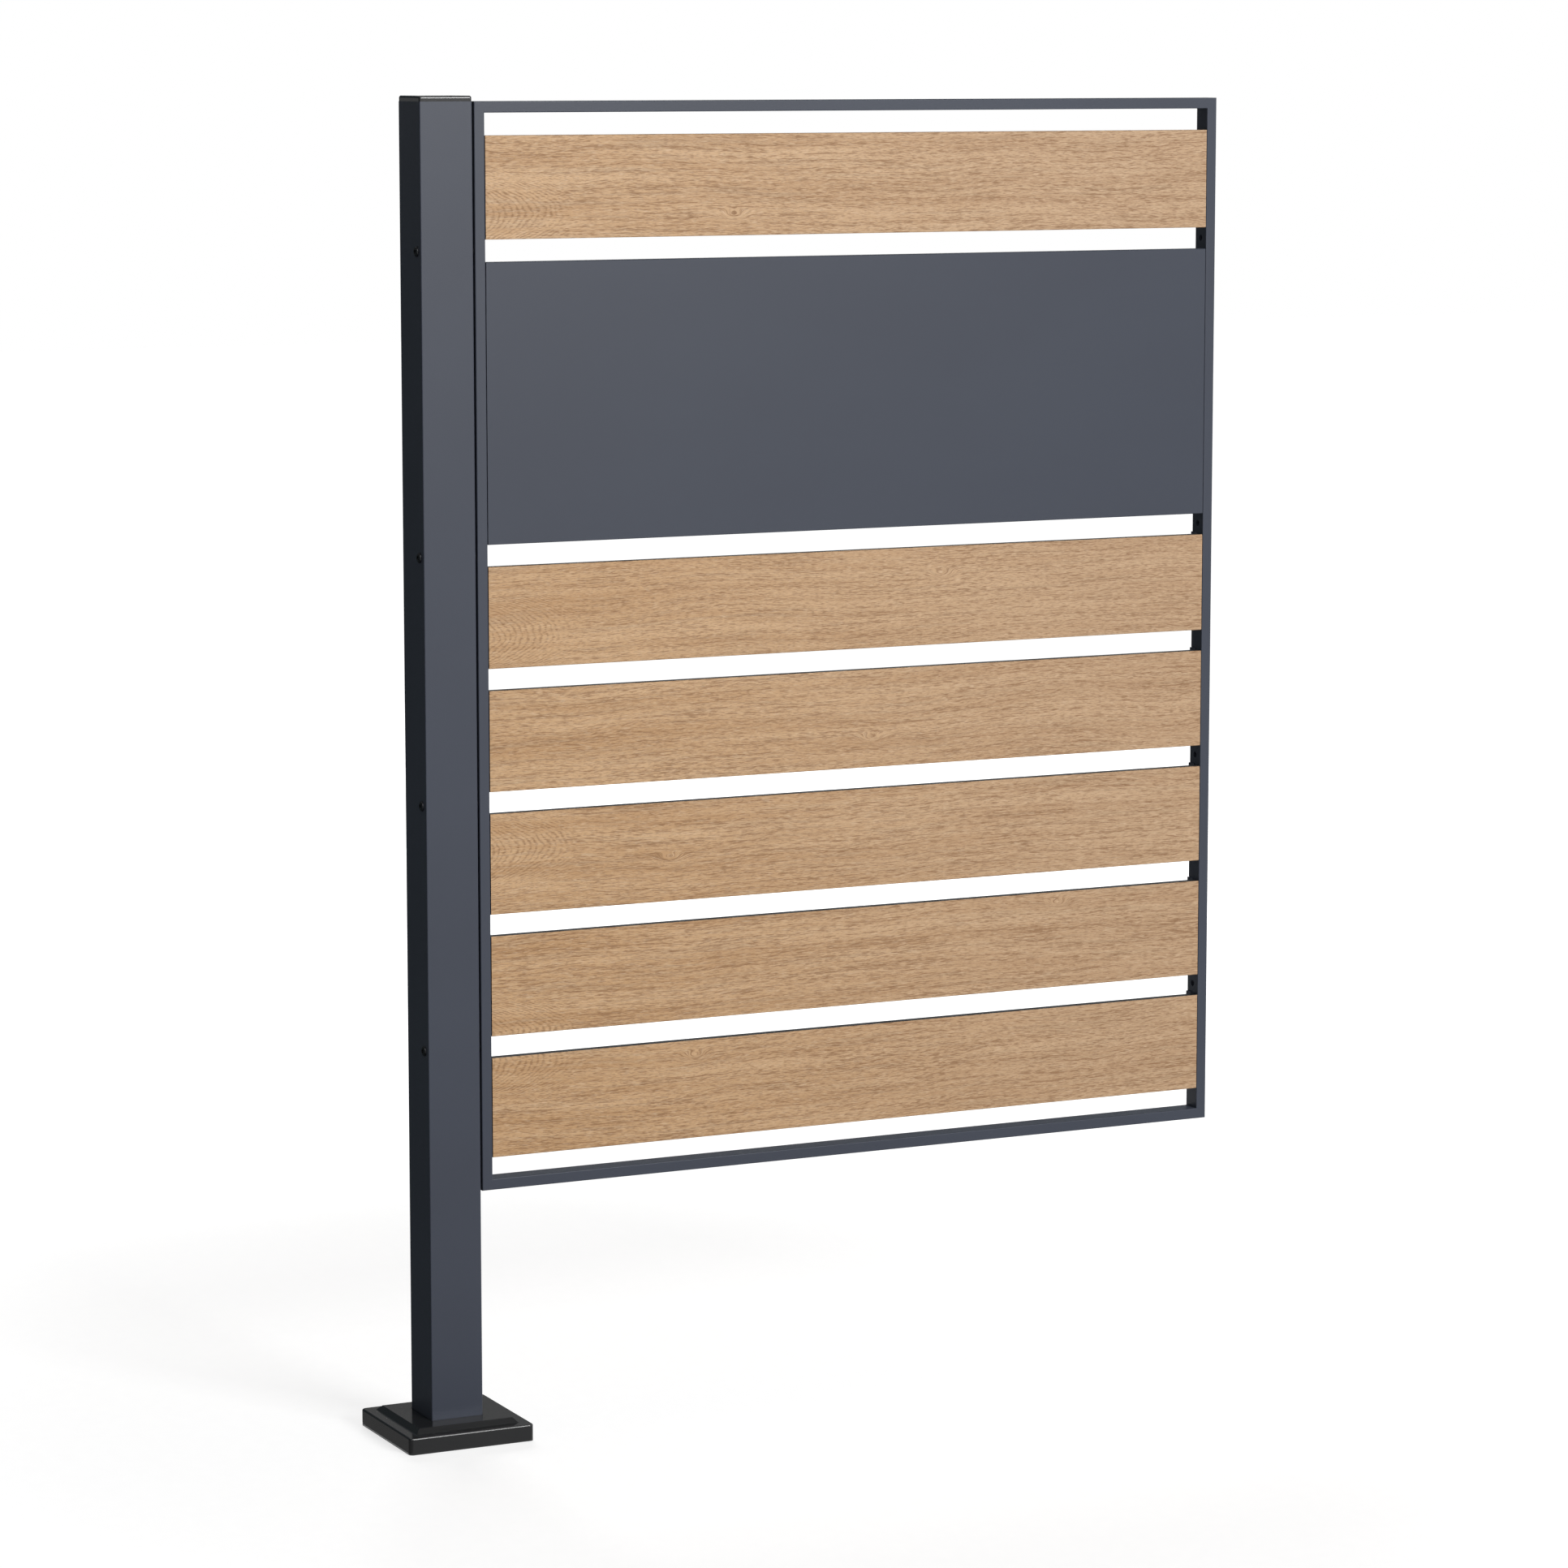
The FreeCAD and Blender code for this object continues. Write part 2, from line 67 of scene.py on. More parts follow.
class Finish:
    """A procedural finish: one shader, and short calls that add the nodes of its surface."""

    def __init__(self, name, colour, roughness, metallic=0.0, specular=PLAIN_SPECULAR):
        self.material = bpy.data.materials.new(name)
        self.material.use_nodes = True
        self.tree = self.material.node_tree
        self.shader = self.tree.nodes["Principled BSDF"]
        self.shader.inputs["Base Color"].default_value = (*colour, 1.0)
        self.shader.inputs["Roughness"].default_value = roughness
        self.shader.inputs["Metallic"].default_value = metallic
        self.shader.inputs["Specular IOR Level"].default_value = specular
        self.place = self.node("ShaderNodeTexCoord").outputs["Object"]

    def node(self, kind, **settings):
        made = self.tree.nodes.new(kind)
        for setting, value in settings.items():
            setattr(made, setting, value)
        return made

    def feed(self, socket, value):
        """Links a node's output to a socket, or sets the socket to a fixed value."""
        if isinstance(value, bpy.types.NodeSocket):
            self.tree.links.new(value, socket)
        else:
            socket.default_value = value

    def maths(self, operation, first, second=0.0):
        made = self.node("ShaderNodeMath", operation=operation)
        self.feed(made.inputs[0], first)
        self.feed(made.inputs[1], second)
        return made.outputs[0]

    def plus(self, first, second):
        return self.maths("ADD", first, second)

    def minus(self, first, second):
        return self.maths("SUBTRACT", first, second)

    def times(self, first, second):
        return self.maths("MULTIPLY", first, second)

    def over(self, first, second):
        return self.maths("DIVIDE", first, second)

    def axes(self, place=None):
        made = self.node("ShaderNodeSeparateXYZ")
        self.feed(made.inputs[0], place or self.place)
        return made.outputs

    def point(self, x, y, z):
        made = self.node("ShaderNodeCombineXYZ")
        for socket, value in zip(made.inputs, (x, y, z)):
            self.feed(socket, value)
        return made.outputs[0]

    def noise(self, per_metre, detail=2.0, place=None, roughness=0.5):
        """Noise with a number of waves per metre, the same one or its own along each axis."""
        stretch = self.node("ShaderNodeVectorMath", operation="MULTIPLY")
        self.feed(stretch.inputs[0], place or self.place)
        self.feed(stretch.inputs[1], per_metre if isinstance(per_metre, tuple) else (per_metre,) * 3)
        made = self.node("ShaderNodeTexNoise")
        self.feed(made.inputs["Vector"], stretch.outputs[0])
        self.feed(made.inputs["Scale"], 1.0)
        self.feed(made.inputs["Detail"], detail)
        self.feed(made.inputs["Roughness"], roughness)
        return made.outputs["Fac"]

    def ramp(self, value, spread, ends=(0.0, 1.0)):
        """Takes a value smoothly from the one end to the other over its spread."""
        made = self.node("ShaderNodeMapRange", interpolation_type="SMOOTHSTEP")
        self.feed(made.inputs["Value"], value)
        for socket, limit in zip(("From Min", "From Max", "To Min", "To Max"), (*spread, *ends)):
            self.feed(made.inputs[socket], limit)
        return made.outputs["Result"]

    def mix(self, share, first, second):
        """Mixes two colours, each a fixed one or a node's output."""
        made = self.node("ShaderNodeMix", data_type="RGBA")
        self.feed(made.inputs["Factor"], share)
        sockets = [socket for socket in made.inputs if socket.type == "RGBA"]
        for socket, colour in zip(sockets, (first, second)):
            self.feed(socket, (*colour, 1.0) if isinstance(colour, tuple) else colour)
        return next(socket for socket in made.outputs if socket.type == "RGBA")

    def colour(self, value):
        self.feed(self.shader.inputs["Base Color"], value)

    def roughness(self, value):
        self.feed(self.shader.inputs["Roughness"], value)

    def relief(self, height, depth):
        made = self.node("ShaderNodeBump")
        self.feed(made.inputs["Height"], height)
        self.feed(made.inputs["Distance"], depth)
        self.feed(self.shader.inputs["Normal"], made.outputs["Normal"])


def grained_skin(name, colour, cloud_colour, clouds_per_metre, grain_per_metre, grain_depth, roughness,
                 specular=PLAIN_SPECULAR, cloud_detail=3.0):
    """An even skin that clouds over from one colour to another, with a fine grain that dulls it."""
    finish = Finish(name, colour, max(roughness), specular=specular)
    cloud = finish.noise(clouds_per_metre, cloud_detail)
    grain = finish.noise(grain_per_metre)
    finish.colour(finish.mix(finish.ramp(cloud, NOISE_SPREAD), colour, cloud_colour))
    finish.roughness(finish.ramp(grain, NOISE_SPREAD, roughness))
    finish.relief(grain, grain_depth)
    return finish


def coat(node_names, finish):
    """Gives solids of the frame their finish."""
    for node_name in node_names:
        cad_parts[node_name].material_slots[0].material = finish.material


powder = grained_skin(
    "anthracite_powder_coat",
    colour=(0.044, 0.051, 0.071),
    cloud_colour=(0.048, 0.056, 0.078),
    clouds_per_metre=5,
    grain_per_metre=700,
    grain_depth=0.00005,
    roughness=(0.34, 0.42),
    specular=0.25,
)
coat(["foot_plate", "post_tube"], powder)


# Weld between the post and its foot plate: one hand-laid fillet all round, under the same coat.
# Its scales stand as fine ripples, and the foot cover hides it until the cover is lifted.
UP = Vector((0, 0, 1))
WELD_LEG = 0.0030
WELD_THROAT_SHARE = 0.72
WELD_RIPPLE = 0.0016
WELD_RIPPLE_SHARE = 0.09
WELD_STEP = 0.0004
WELD_CORNER = 0.0015
WELD_CORNER_STEPS = 9
WELD_PROFILE_STEPS = 5


def skin(name, rings, looped=False):
    """A closed mesh through rings of equally many points, capped unless the last ring meets the first."""
    count = len(rings[0])
    corners = [point for ring in rings for point in ring]
    faces = []
    spans = len(rings) if looped else len(rings) - 1
    for span in range(spans):
        near = span * count
        far = (span + 1) % len(rings) * count
        for i in range(count):
            j = (i + 1) % count
            faces.append((near + i, near + j, far + j, far + i))
    if not looped:
        faces.append(tuple(range(count)))
        faces.append(tuple(range(len(corners) - count, len(corners))))
    mesh = bpy.data.meshes.new(name)
    mesh.from_pydata(corners, [], faces)
    return mesh


def settle(mesh, crease_degrees=35):
    """Turns every face outwards and shades the mesh smooth between its creases."""
    work = bmesh.new()
    work.from_mesh(mesh)
    bmesh.ops.recalc_face_normals(work, faces=work.faces)
    work.to_mesh(mesh)
    work.free()
    mesh.shade_smooth()
    mesh.set_sharp_from_angle(angle=math.radians(crease_degrees))


def piece(name, mesh, finish, body):
    """Puts a mesh into the scene with its finish, riding on a body."""
    made = bpy.data.objects.new(name, mesh)
    bpy.context.scene.collection.objects.link(made)
    mesh.materials.append(finish.material)
    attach(made, body)
    return made


def square_walk(half, corner):
    """Points and outward directions once round a square with rounded corners."""
    run = half - corner
    straight_steps = round(2 * run / WELD_STEP)
    walk = []
    for quarter in range(4):
        spin = math.pi / 2 * quarter
        out = Vector((math.cos(spin), math.sin(spin), 0))
        along = Vector((-math.sin(spin), math.cos(spin), 0))
        for i in range(straight_steps):
            walk.append((out * half + along * (-run + 2 * run * i / straight_steps), out))
        for i in range(WELD_CORNER_STEPS):
            angle = math.pi / 2 * i / WELD_CORNER_STEPS
            way = out * math.cos(angle) + along * math.sin(angle)
            walk.append((out * run + along * run + way * corner, way))
    return walk


def weld_bead():
    """The fillet's profile, a root and a rounded face, carried once round the post."""
    plate_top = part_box("foot_plate")[1].z
    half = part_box("post_tube")[1].x
    rings = []
    for i, (spot, out) in enumerate(square_walk(half, WELD_CORNER)):
        ripple = math.sin(math.tau * i * WELD_STEP / WELD_RIPPLE)
        leg = WELD_LEG * (1 + WELD_RIPPLE_SHARE * ripple)
        root = Vector((spot.x, spot.y, plate_top))
        ring = [root]
        for k in range(WELD_PROFILE_STEPS + 1):
            angle = math.pi / 2 * k / WELD_PROFILE_STEPS
            reach = leg * (WELD_THROAT_SHARE + (1 - WELD_THROAT_SHARE) * abs(math.cos(2 * angle)))
            ring.append(root + out * reach * math.cos(angle) + UP * reach * math.sin(angle))
        rings.append(ring)
    mesh = skin("post_weld", rings, looped=True)
    settle(mesh)
    return mesh


piece("post_weld", weld_bead(), powder, "screen")


# Post cap: a black moulded lid with rounded edges, pushed into the top of the tube.
# The moulding is plain polymer with an even satin skin.
PLASTIC_COLOUR = (0.017, 0.0175, 0.0185)
PLASTIC_CLOUD_COLOUR = (0.021, 0.0215, 0.0225)


def moulded_plastic(name, roughness, grain_depth, specular=PLAIN_SPECULAR):
    """Black polymer, the same in every moulding, with the skin that its mould gives it."""
    return grained_skin(
        name,
        colour=PLASTIC_COLOUR,
        cloud_colour=PLASTIC_CLOUD_COLOUR,
        clouds_per_metre=9,
        grain_per_metre=1400,
        grain_depth=grain_depth,
        roughness=roughness,
        specular=specular,
    )


cap_plastic = moulded_plastic("satin_black_plastic", roughness=(0.11, 0.16), grain_depth=0.000008)
coat(["post_cap"], cap_plastic)


# Foot cover: one black moulded shell that slides up the post to bare the ground bolts.
# It comes from a polished mould, so it mirrors the post and shows fine highlights on its edges.
cover_plastic = moulded_plastic("gloss_black_plastic", roughness=(0.10, 0.16), grain_depth=0.000005)
coat(["base_cover"], cover_plastic)


# Spacers: four six-sided washers that keep a narrow gap between the post and the near stile.
# They are of the same black polymer, left matt, and the panel bolts pass through them.
spacer_plastic = moulded_plastic(
    "matt_black_plastic",
    roughness=(0.50, 0.60),
    grain_depth=0.00003,
    specular=0.1,
)
coat(["stile_spacers"], spacer_plastic)


# Panel frame: two stiles and two rails of flat steel tube, mitred, welded and ground flush.
# Brackets are welded inside the stiles, bushes are set in them, and all take the same coat.
frame_nodes = [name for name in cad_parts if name.startswith(("frame_", "bracket_", "threaded_"))]
coat(frame_nodes, powder)


# Panel bolts: four steel button heads with a six-sided socket, screwed through the post.
# They are blackened, and each ends in a threaded bush of the near stile.
RIGHT = Vector((1, 0, 0))
BACK = Vector((0, 1, 0))
ROUND = 0
HEXAGON = 6
ROUND_STEPS = 48
DOME_STEPS = 6
METAL_MARK_DEPTH = 0.00001
BOLT_HEAD_HEIGHT = 0.0022
BOLT_CROWN_RADIUS = 0.0031
BOLT_RIM = 0.0005
BOLT_SOCKET_ACROSS = 0.0046
BOLT_SOCKET_DEPTH = 0.0015
BOLT_SOCKET_MOUTH = 0.00015
BOLT_SHANK_RADIUS = 0.003
BOLT_POINT = 0.0006


def marked_metal(name, colour, mark_colour, metallic, marks_per_metre, mark_detail, mark_spread, roughness):
    """Treated steel whose marks change its colour, its gloss and, very slightly, its height."""
    finish = Finish(name, colour, max(roughness), metallic)
    marks = finish.noise(marks_per_metre, mark_detail)
    finish.colour(finish.mix(finish.ramp(marks, mark_spread), colour, mark_colour))
    finish.roughness(finish.ramp(marks, NOISE_SPREAD, roughness))
    finish.relief(marks, METAL_MARK_DEPTH)
    return finish


def solids_upwards(node_name, least_gap=0.01):
    """Lowest and highest corner of each solid in a group whose solids stand one above another."""
    points = sorted((v.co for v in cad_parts[node_name].data.vertices), key=lambda co: co.z)
    groups = [[points[0]]]
    for point in points[1:]:
        if point.z - groups[-1][-1].z > least_gap:
            groups.append([])
        groups[-1].append(point)
    corners = []
    for group in groups:
        low = Vector(min(point[i] for point in group) for i in range(3))
        high = Vector(max(point[i] for point in group) for i in range(3))
        corners.append((low, high))
    return corners


def turned_ring(centre, across, up, radius, sides):
    """A ring of points about centre, round or with flat sides at that distance."""
    ring = []
    for i in range(ROUND_STEPS):
        angle = math.tau * i / ROUND_STEPS
        reach = radius
        if sides != ROUND:
            flat = math.tau / sides
            reach = radius / math.cos(angle % flat - flat / 2)
        ring.append(centre + across * reach * math.cos(angle) + up * reach * math.sin(angle))
    return ring


def turned(outline, head, axis, across, up):
    """Rings along an axis from the head inwards; each outline entry is depth, radius and sides."""
    return [turned_ring(head + axis * depth, across, up, radius, sides) for depth, radius, sides in outline]


def button_bolt_outline(length, head_radius):
    """From the floor of the socket out over the domed head and along the shank to the point."""
    socket = BOLT_SOCKET_ACROSS / 2
    outline = [(BOLT_SOCKET_DEPTH, socket, HEXAGON), (BOLT_SOCKET_MOUTH, socket, HEXAGON)]
    for i in range(DOME_STEPS + 1):
        angle = math.pi / 2 * i / DOME_STEPS
        radius = BOLT_CROWN_RADIUS + (head_radius - BOLT_CROWN_RADIUS) * math.sin(angle)
        depth = (BOLT_HEAD_HEIGHT - BOLT_RIM) * (1 - math.cos(angle))
        outline.append((depth, radius, ROUND))
    outline.append((BOLT_HEAD_HEIGHT, head_radius, ROUND))
    outline.append((BOLT_HEAD_HEIGHT, BOLT_SHANK_RADIUS, ROUND))
    outline.append((length - BOLT_POINT, BOLT_SHANK_RADIUS, ROUND))
    outline.append((length, BOLT_SHANK_RADIUS - BOLT_POINT, ROUND))
    return outline


def gathered(name, meshes):
    """One mesh that holds all the given ones."""
    work = bmesh.new()
    for mesh in meshes:
        work.from_mesh(mesh)
        bpy.data.meshes.remove(mesh)
    mesh = bpy.data.meshes.new(name)
    work.to_mesh(mesh)
    work.free()
    settle(mesh)
    return mesh


blackened_steel = marked_metal(
    "blackened_steel",
    colour=(0.015, 0.016, 0.018),
    mark_colour=(0.027, 0.028, 0.031),
    metallic=0.6,
    marks_per_metre=900,
    mark_detail=3.0,
    mark_spread=(0.45, 0.75),
    roughness=(0.32, 0.50),
)
bolts = []
for low, high in solids_upwards("panel_bolts"):
    middle = (low + high) / 2
    outline = button_bolt_outline(high.x - low.x, (high.z - low.z) / 2)
    head = Vector((low.x, middle.y, middle.z))
    bolts.append(skin("panel_bolt", turned(outline, head, RIGHT, BACK, UP)))
bolt_mesh = gathered("button_head_bolts", bolts)
button_head_bolts = piece("button_head_bolts", bolt_mesh, blackened_steel, "screen")
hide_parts("panel_bolts")


# Slats: six composite boards with an oak decor on both faces and a dark core at every edge.
# Each is sawn from another stretch of decor, so eyes and arches sit in another place on each.
# Screws from behind hold both ends of a slat on the brackets, flush with the frame's front.
NOISE_MIDDLE = 0.5
FADE_OUT = (1.0, 0.0)
OAK_SWAYS_PER_METRE = (2.4, 2.4, 4.0)
OAK_SWAY = 0.030
OAK_RIPPLES_PER_METRE = (15.0, 15.0, 24.0)
OAK_RIPPLE = 0.0034
OAK_EYE_LENGTH = 0.014
OAK_EYE_WIDTH = 0.0055
OAK_EYE_RISE = 0.0085
OAK_ARCH_RING = 0.0026
OAK_ARCH_TAPER = 0.36
OAK_ARCH_ROUND = 0.030
OAK_ARCH_WANDERS_PER_METRE = (45.0, 45.0, 90.0)
OAK_ARCH_WANDER = 0.0045
OAK_ARCH_FADE_ALONG = (0.05625, 0.125)
OAK_ARCH_FADE_ACROSS = (0.0272, 0.068)
OAK_ARCH_CONTRAST = 0.085
OAK_ARCH_LEVEL = 0.515
OAK_ARCH_CALM = 0.60
OAK_BANDS_PER_METRE = (9.0, 1.0, 400.0)
OAK_BAND_CONTRAST = 0.60
OAK_GROUND_COLOUR = (0.515, 0.302, 0.142)
OAK_ASH_COLOUR = (0.468, 0.343, 0.250)
OAK_ASH_SHARE = 0.35
OAK_ROUGHNESS = (0.46, 0.60)
OAK_ROUGHNESS_SPREAD = (0.40, 0.70)
OAK_SPECULAR = 0.35
OAK_PORE_DEPTH = 0.00006
CORE_COLOUR = (0.012, 0.0135, 0.016)
CORE_PALE_COLOUR = (0.018, 0.020, 0.024)
CORE_FIBRES_PER_METRE = (90.0, 700.0, 90.0)
CORE_FIBRE_SPREAD = (0.35, 0.65)
FACE_TILT = (0.50, 0.60)

# The decor's layers, printed one over another from the ground colour up. Each has its colour, its
# noise along, through and across the slat, the spread over which it comes in, and its full share.
Layer = namedtuple("Layer", "colour per_metre detail roughness spread share")
OAK_PALE = Layer(colour=(0.630, 0.402, 0.216), per_metre=(2.5, 1.0, 70.0),
                 detail=4.0, roughness=0.60, spread=(0.32, 0.68), share=1.0)
OAK_STREAK = Layer(colour=(0.438, 0.293, 0.172), per_metre=(7.0, 1.0, 260.0),
                   detail=3.0, roughness=0.60, spread=(0.50, 0.72), share=0.50)
OAK_PORE = Layer(colour=(0.222, 0.103, 0.036), per_metre=(86.0, 1.0, 1120.0),
                 detail=2.0, roughness=0.55, spread=(0.50, 0.66), share=0.62)
OAK_FINE_PORE = Layer(colour=OAK_PORE.colour, per_metre=(170.0, 1.0, 1850.0),
                      detail=1.0, roughness=0.50, spread=(0.52, 0.66), share=0.48)
OAK_GLINT = Layer(colour=(0.720, 0.530, 0.352), per_metre=(110.0, 1.0, 1350.0),
                  detail=1.0, roughness=0.50, spread=(0.56, 0.70), share=0.42)

# For each slat, as shares of its length and height: where its eye lies along and across it,
# and at what height its nest of arches points along it, where it has one.
Cut = namedtuple("Cut", "eye_along eye_across arch_across")
OAK_CUTS = {
    "slat_1": Cut(eye_along=0.330, eye_across=0.20, arch_across=0.24),
    "slat_2": Cut(eye_along=0.620, eye_across=0.72, arch_across=0.34),
    "slat_3": Cut(eye_along=0.520, eye_across=0.30, arch_across=None),
    "slat_4": Cut(eye_along=0.240, eye_across=0.44, arch_across=0.64),
    "slat_5": Cut(eye_along=0.790, eye_across=0.88, arch_across=-0.02),
    "slat_6": Cut(eye_along=0.275, eye_across=0.84, arch_across=0.92),
}


def swing(finish, per_metre, reach, place=None):
    """A noise that goes about equally far to both sides of nothing."""
    return finish.times(finish.minus(finish.noise(per_metre, place=place), NOISE_MIDDLE), reach)


def oak_flow(finish, eye_x, eye_z):
    """Height on the slat, bent as the fibres wander and bulge round an eye."""
    x, _, z = finish.axes()
    sway = swing(finish, OAK_SWAYS_PER_METRE, OAK_SWAY)
    ripple = swing(finish, OAK_RIPPLES_PER_METRE, OAK_RIPPLE)
    along = finish.over(finish.minus(x, eye_x), OAK_EYE_LENGTH)
    across = finish.over(finish.minus(z, eye_z), OAK_EYE_WIDTH)
    away = finish.plus(finish.times(along, along), finish.times(across, across))
    eye = finish.maths("POWER", math.e, finish.times(away, -1.0))
    bent = finish.plus(finish.plus(sway, ripple), finish.times(eye, OAK_EYE_RISE))
    return x, finish.plus(z, bent)


def oak_arches(finish, pore, x, flow, slat_end, tip_height):
    """The figure of the pores, given over to a nest of year rings near the slat's left end."""
    along = finish.minus(x, slat_end)
    across = finish.minus(flow, tip_height)
    bow = finish.over(finish.times(across, across), 2 * OAK_ARCH_ROUND)
    wander = finish.times(finish.noise(OAK_ARCH_WANDERS_PER_METRE), OAK_ARCH_WANDER)
    ring = finish.plus(finish.plus(finish.times(along, OAK_ARCH_TAPER), bow), wander)
    wave = finish.maths("SINE", finish.times(ring, math.tau / OAK_ARCH_RING))
    calm = finish.times(finish.minus(OAK_ARCH_LEVEL, pore), OAK_ARCH_CALM)
    arched = finish.plus(finish.times(wave, OAK_ARCH_CONTRAST), calm)
    near_end = finish.ramp(along, OAK_ARCH_FADE_ALONG, FADE_OUT)
    near_tip = finish.ramp(finish.maths("ABSOLUTE", across), OAK_ARCH_FADE_ACROSS, FADE_OUT)
    return finish.plus(pore, finish.times(arched, finish.times(near_end, near_tip)))


def figure(finish, layer, place):
    """The noise that one layer is printed from."""
    return finish.noise(layer.per_metre, layer.detail, place, layer.roughness)


def printed(finish, under, layer, value):
    """The colour under a layer with that layer printed over it."""
    return finish.mix(finish.ramp(value, layer.spread, (0.0, layer.share)), under, layer.colour)


def bare_core(finish):
    fibre = finish.noise(CORE_FIBRES_PER_METRE, detail=3.0)
    return finish.mix(finish.ramp(fibre, CORE_FIBRE_SPREAD), CORE_COLOUR, CORE_PALE_COLOUR)


def oak_decor(node_name, cut):
    low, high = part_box(node_name)
    reach = high - low
    finish = Finish(f"oak_decor_{node_name}", OAK_GROUND_COLOUR, max(OAK_ROUGHNESS), specular=OAK_SPECULAR)
    x, flow = oak_flow(finish, low.x + reach.x * cut.eye_along, low.z + reach.z * cut.eye_across)
    # Every slat lies at another depth in the noise, so no two have the same figure
    straight = finish.point(x, low.z, flow)
    band = swing(finish, OAK_BANDS_PER_METRE, OAK_BAND_CONTRAST, straight)
    pore = finish.plus(figure(finish, OAK_PORE, straight), band)
    if cut.arch_across is not None:
        pore = oak_arches(finish, pore, x, flow, low.x, low.z + reach.z * cut.arch_across)

    decor = printed(finish, OAK_GROUND_COLOUR, OAK_PALE, figure(finish, OAK_PALE, straight))
    towards_right = finish.ramp(x, (low.x, high.x), (0.0, OAK_ASH_SHARE))
    decor = finish.mix(towards_right, decor, OAK_ASH_COLOUR)
    decor = printed(finish, decor, OAK_STREAK, figure(finish, OAK_STREAK, straight))
    decor = printed(finish, decor, OAK_PORE, pore)
    decor = printed(finish, decor, OAK_FINE_PORE, figure(finish, OAK_FINE_PORE, straight))
    decor = printed(finish, decor, OAK_GLINT, figure(finish, OAK_GLINT, straight))

    # The decor covers what faces the front or the back, and the core shows at the edges
    facing = finish.axes(finish.node("ShaderNodeNewGeometry").outputs["Normal"])["Y"]
    on_face = finish.ramp(finish.maths("ABSOLUTE", facing), FACE_TILT)
    finish.colour(finish.mix(on_face, bare_core(finish), decor))
    finish.roughness(finish.ramp(pore, OAK_ROUGHNESS_SPREAD, OAK_ROUGHNESS))
    finish.relief(finish.ramp(pore, OAK_PORE.spread, (0.0, -1.0)), OAK_PORE_DEPTH)
    return finish


for slat, cut in OAK_CUTS.items():
    coat([slat], oak_decor(slat, cut))


# Tall board: the same composite board with a plain anthracite face, fixed as the slats are.
# It is pressed with a very fine, even grain and coloured in the tone of the frame.
board_face = grained_skin(
    "anthracite_board",
    colour=(0.043, 0.050, 0.070),
    cloud_colour=(0.046, 0.054, 0.075),
    clouds_per_metre=(3.0, 3.0, 6.0),
    cloud_detail=4.0,
    grain_per_metre=1300,
    grain_depth=0.00003,
    roughness=(0.34, 0.42),
    specular=0.25,
)
coat(["tall_panel"], board_face)


# Board screws: zinc plated flange screws from behind, two for each end of each board.
# The head is pressed in one piece with its flange, and the thread bites into the core.
SCREW_HEAD_ACROSS = 0.0058
SCREW_HEAD_HEIGHT = 0.0024
SCREW_HEAD_CHAMFER = 0.0004
SCREW_CROWN_SHARE = 0.92
SCREW_FLANGE_HEIGHT = 0.0008
SCREW_FLANGE_EDGE = 0.0004
SCREW_FLANGE_TOP_SHARE = 1.16
SCREW_FLANGE_RADIUS = 0.0040
SCREW_SHANK_RADIUS = 0.00175
SCREW_TIP_SHARE = 0.2


def flange_screw_outline(length):
    """From the top of the head over its flats and its flange and along the shank to the tip."""
    flat = SCREW_HEAD_ACROSS / 2
    flange_top = SCREW_HEAD_HEIGHT - SCREW_FLANGE_HEIGHT
    return [
        (0.0, flat * SCREW_CROWN_SHARE, ROUND),
        (SCREW_HEAD_CHAMFER, flat, HEXAGON),
        (flange_top, flat, HEXAGON),
        (flange_top, flat * SCREW_FLANGE_TOP_SHARE, ROUND),
        (SCREW_HEAD_HEIGHT - SCREW_FLANGE_EDGE, SCREW_FLANGE_RADIUS, ROUND),
        (SCREW_HEAD_HEIGHT, SCREW_FLANGE_RADIUS, ROUND),
        (SCREW_HEAD_HEIGHT, SCREW_SHANK_RADIUS, ROUND),
        (length - SCREW_SHANK_RADIUS, SCREW_SHANK_RADIUS, ROUND),
        (length, SCREW_SHANK_RADIUS * SCREW_TIP_SHARE, ROUND),
    ]


zinc = marked_metal(
    "zinc_plate",
    colour=(0.50, 0.52, 0.55),
    mark_colour=(0.38, 0.40, 0.43),
    metallic=1.0,
    marks_per_metre=260,
    mark_detail=4.0,
    mark_spread=(0.35, 0.65),
    roughness=(0.28, 0.45),
)
for side in ("left", "right"):
    screws = []
    for low, high in solids_upwards(f"board_screws_{side}"):
        middle = (low + high) / 2
        head = Vector((middle.x, high.y, middle.z))
        outline = flange_screw_outline(high.y - low.y)
        screws.append(skin("flange_screw", turned(outline, head, -BACK, UP, RIGHT)))
    name = f"flange_screws_{side}"
    flange_screws = piece(name, gathered(name, screws), zinc, "screen")
    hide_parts(f"board_screws_{side}")


# Floor: a wide pale studio floor that runs white into the backdrop and keeps the part's soft shadow.
# It is matt and finely speckled, and it glows where it is looked at, most of all away from the part.
FLOOR_SIZE = 40.0
FLOOR_COLOUR = (0.42, 0.42, 0.42)
FLOOR_SPECKLE_COLOUR = (0.44, 0.44, 0.44)
FLOOR_SPECKLES_PER_METRE = 60
FLOOR_GLOW = (0.72, 1.0)
FLOOR_GLOW_RADIUS = (0.7, 2.2)
studio_centre = (cad_box[0] + cad_box[1]) / 2


